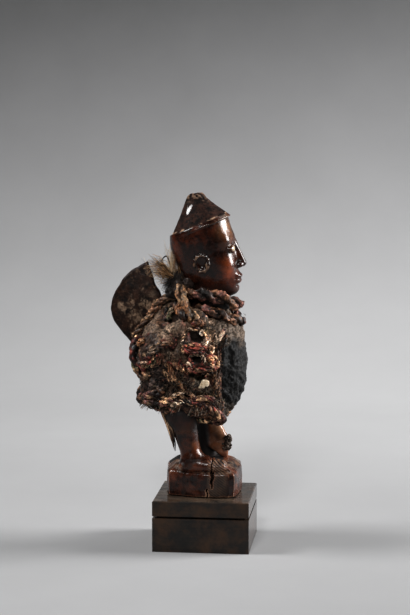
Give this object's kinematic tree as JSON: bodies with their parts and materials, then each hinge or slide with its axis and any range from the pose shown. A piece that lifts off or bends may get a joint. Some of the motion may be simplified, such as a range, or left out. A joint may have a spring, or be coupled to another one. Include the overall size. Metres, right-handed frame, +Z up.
{
  "type": "nkisi nkondi figure",
  "caption": "Small carved wooden power figure in a pointed cap, wrapped in crusted cloth and twisted ropes with a resin belly charge, standing on a grooved wooden plinth.",
  "frame": {"origin": "centre of the plinth underside", "axes": "+Z up, +X the way the figure faces, +Y towards the figure's left"},
  "size_m": [0.1149, 0.0828, 0.2831],
  "materials": {
    "plinth_wood": "dark stained wood, satin with dust",
    "figure_wood": "dark oiled wood, glossy where handled",
    "inlay": "pale glossy inlay",
    "gourd": "mottled gourd rind, satin",
    "rope": "crusted twisted fibre, matt",
    "raffia": "dry twisted raffia, matt",
    "resin": "black resin and earth, lumpy, half gloss",
    "fibre": "dry pale fibre",
    "hair": "coarse black hair",
    "hide": "ragged dry hide",
    "shell": "chipped shell, half gloss",
    "cloth": "cloth crusted with earth and resin, matt"
  },
  "bodies": {
    "root": {"display_plinth": "plinth_wood", "carved_figure": "figure_wood", "eye_inlay_right": "inlay", "eye_inlay_left": "inlay", "gourd_plate": "gourd", "neck_rope": "rope", "raffia_braid": "raffia", "back_rope": "rope", "elbow_rope_upper": "rope", "elbow_rope_lower": "rope", "arm_rope": "rope", "waist_rope": "rope", "hip_rope_end": "rope", "tie_string": "rope", "side_cord": "rope", "far_shoulder_rope": "rope", "shin_charge": "resin", "fibre_tuft": "fibre", "hair_tuft": "hair", "hanging_strip": "hide", "shell_chip": "shell", "arm_packet": "cloth", "belly_charge": "resin", "cloth_wrap": "cloth"}
  },
  "joints": []
}
